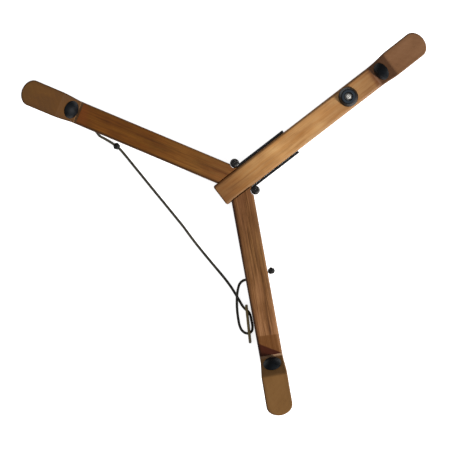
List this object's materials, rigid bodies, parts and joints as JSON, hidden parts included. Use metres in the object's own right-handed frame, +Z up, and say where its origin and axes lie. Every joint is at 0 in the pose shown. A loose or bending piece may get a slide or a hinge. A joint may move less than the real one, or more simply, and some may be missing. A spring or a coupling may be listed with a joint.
{
  "type": "folding three-arm loom stand",
  "caption": "Folding hardwood stand with arms hinged in a Y, upturned padded cradle fingers at the bar ends, a rubber foot on top and a cord with a sliding toggle.",
  "frame": {"origin": "on the underside of the centre arm's bar, at the hub, 27 mm from the bar's inner end, on its centre line", "axes": "+X out along the centre arm, +Y towards the left arm's side, +Z up, away from the surface that the stand lies on"},
  "size_m": [0.3832, 0.4551, 0.0624],
  "materials": {
    "centre_wood": "satin, warm honey brown stain, straight grain",
    "left_wood": "satin, dark brown stain",
    "right_wood": "satin, brown stain with clear grain streaks",
    "block_wood": "matte brown stain, fine grain",
    "dowel_wood": "unfinished pale hardwood",
    "rubber": "matte black moulded rubber",
    "black_steel": "black paint, worn bright in spots",
    "bright_steel": "plain zinc plated",
    "cord": "braided cord, black olive",
    "toggle_wood": "light olive brown slat with a worn tip"
  },
  "bodies": {
    "centre_arm": {"centre_arm_bar": "centre_wood", "centre_end_block": "block_wood", "centre_dowel_1": "dowel_wood", "centre_dowel_2": "dowel_wood", "centre_bumper": "rubber", "top_foot": "rubber", "top_foot_washer": "bright_steel", "top_foot_screw": "bright_steel", "left_hinge_fixed_leaf": "black_steel", "left_hinge_pin": "black_steel", "left_fixed_leaf_screw_1": "black_steel", "left_fixed_leaf_screw_2": "black_steel", "left_fixed_leaf_screw_3": "black_steel", "right_hinge_fixed_leaf": "black_steel", "right_hinge_pin": "black_steel", "right_fixed_leaf_screw_1": "black_steel", "right_fixed_leaf_screw_2": "black_steel", "right_fixed_leaf_screw_3": "black_steel"},
    "left_arm": {"left_arm_bar": "left_wood", "left_end_block": "block_wood", "left_dowel_1": "dowel_wood", "left_dowel_2": "dowel_wood", "left_bumper": "rubber", "left_hinge_moving_leaf": "black_steel", "left_moving_leaf_screw_1": "black_steel", "left_moving_leaf_screw_2": "black_steel", "cord_strand": "cord", "anchor_knot": "cord", "cord_left": "cord"},
    "right_arm": {"right_arm_bar": "right_wood", "right_end_block": "block_wood", "right_dowel_1": "dowel_wood", "right_dowel_2": "dowel_wood", "right_bumper": "rubber", "right_hinge_moving_leaf": "black_steel", "right_moving_leaf_screw_1": "black_steel", "right_moving_leaf_screw_2": "black_steel", "stopper_knot": "cord", "cord_right": "cord", "toggle": "toggle_wood"}
  },
  "joints": [
    {"name": "left_arm_fold", "type": "hinge", "parent": "centre_arm", "child": "left_arm", "pos_m": [0.0078, 0.0188, 0], "axis": [0, 0, -1], "range_deg": [0, 119.6]},
    {"name": "right_arm_fold", "type": "hinge", "parent": "centre_arm", "child": "right_arm", "pos_m": [0.0078, -0.0188, 0], "axis": [0, 0, 1], "range_deg": [0, 117.3]}
  ]
}
